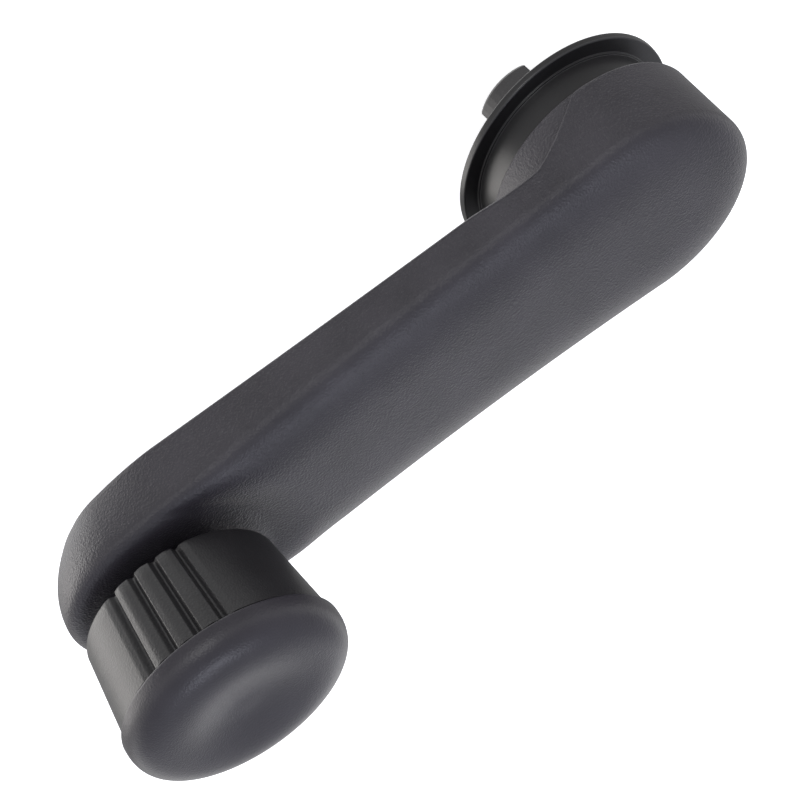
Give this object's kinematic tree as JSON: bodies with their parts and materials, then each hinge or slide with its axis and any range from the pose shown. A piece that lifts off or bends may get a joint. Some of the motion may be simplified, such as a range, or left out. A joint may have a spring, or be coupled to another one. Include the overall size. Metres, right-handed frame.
{
  "type": "window crank operator",
  "caption": "Black moulded hand crank for a vehicle side window: skirted splined hub on a round trim rosette, cranked arm and a ribbed free-spinning knob with a dished cap.",
  "frame": {"origin": "on the spindle axis, in the plane of the door trim that the rosette bears on", "axes": "+Z along the spindle away from the door, +X from the hub to the knob with the crank at rest"},
  "size_m": [0.1275, 0.04, 0.0547],
  "materials": {
    "grained_plastic": "fine spark-eroded grain, soft satin black",
    "smooth_plastic": "smooth moulded black",
    "knob_plastic": "lightly grained black",
    "cap_plastic": "fine grained black, slight sheen",
    "washer_plastic": "smooth black acetal",
    "zinc": "die-cast zinc, splined bore",
    "spring_steel": "spring steel, lightly oiled",
    "steel_strap": "zinc plated steel",
    "screw_steel": "zinc plated",
    "axle_steel": "turned steel",
    "washer_steel": "bright steel",
    "bush_brass": "turned brass"
  },
  "bodies": {
    "door_side": {"rosette": "smooth_plastic"},
    "crank": {"arm_shell": "grained_plastic", "back_cover": "smooth_plastic", "hub_core": "smooth_plastic", "spline_insert": "zinc", "spindle_clip": "spring_steel", "rosette_spring": "spring_steel", "tail_circlip": "spring_steel", "arm_beam": "steel_strap", "cover_screw_1": "screw_steel", "cover_screw_2": "screw_steel", "hub_screw_1": "screw_steel", "hub_screw_2": "screw_steel", "knob_axle": "axle_steel", "thrust_washer": "washer_plastic", "knob_circlip": "spring_steel"},
    "knob": {"knob_sleeve": "knob_plastic", "knob_cap": "cap_plastic", "knob_bush": "bush_brass", "end_washer": "washer_steel"}
  },
  "joints": [
    {"name": "crank_turn", "type": "hinge", "parent": "door_side", "child": "crank", "pos_m": [0, 0, 0], "axis": [0, 0, 1], "continuous": true},
    {"name": "knob_spin", "type": "hinge", "parent": "crank", "child": "knob", "pos_m": [0.0897, 0, 0], "axis": [0, 0, 1], "continuous": true}
  ]
}
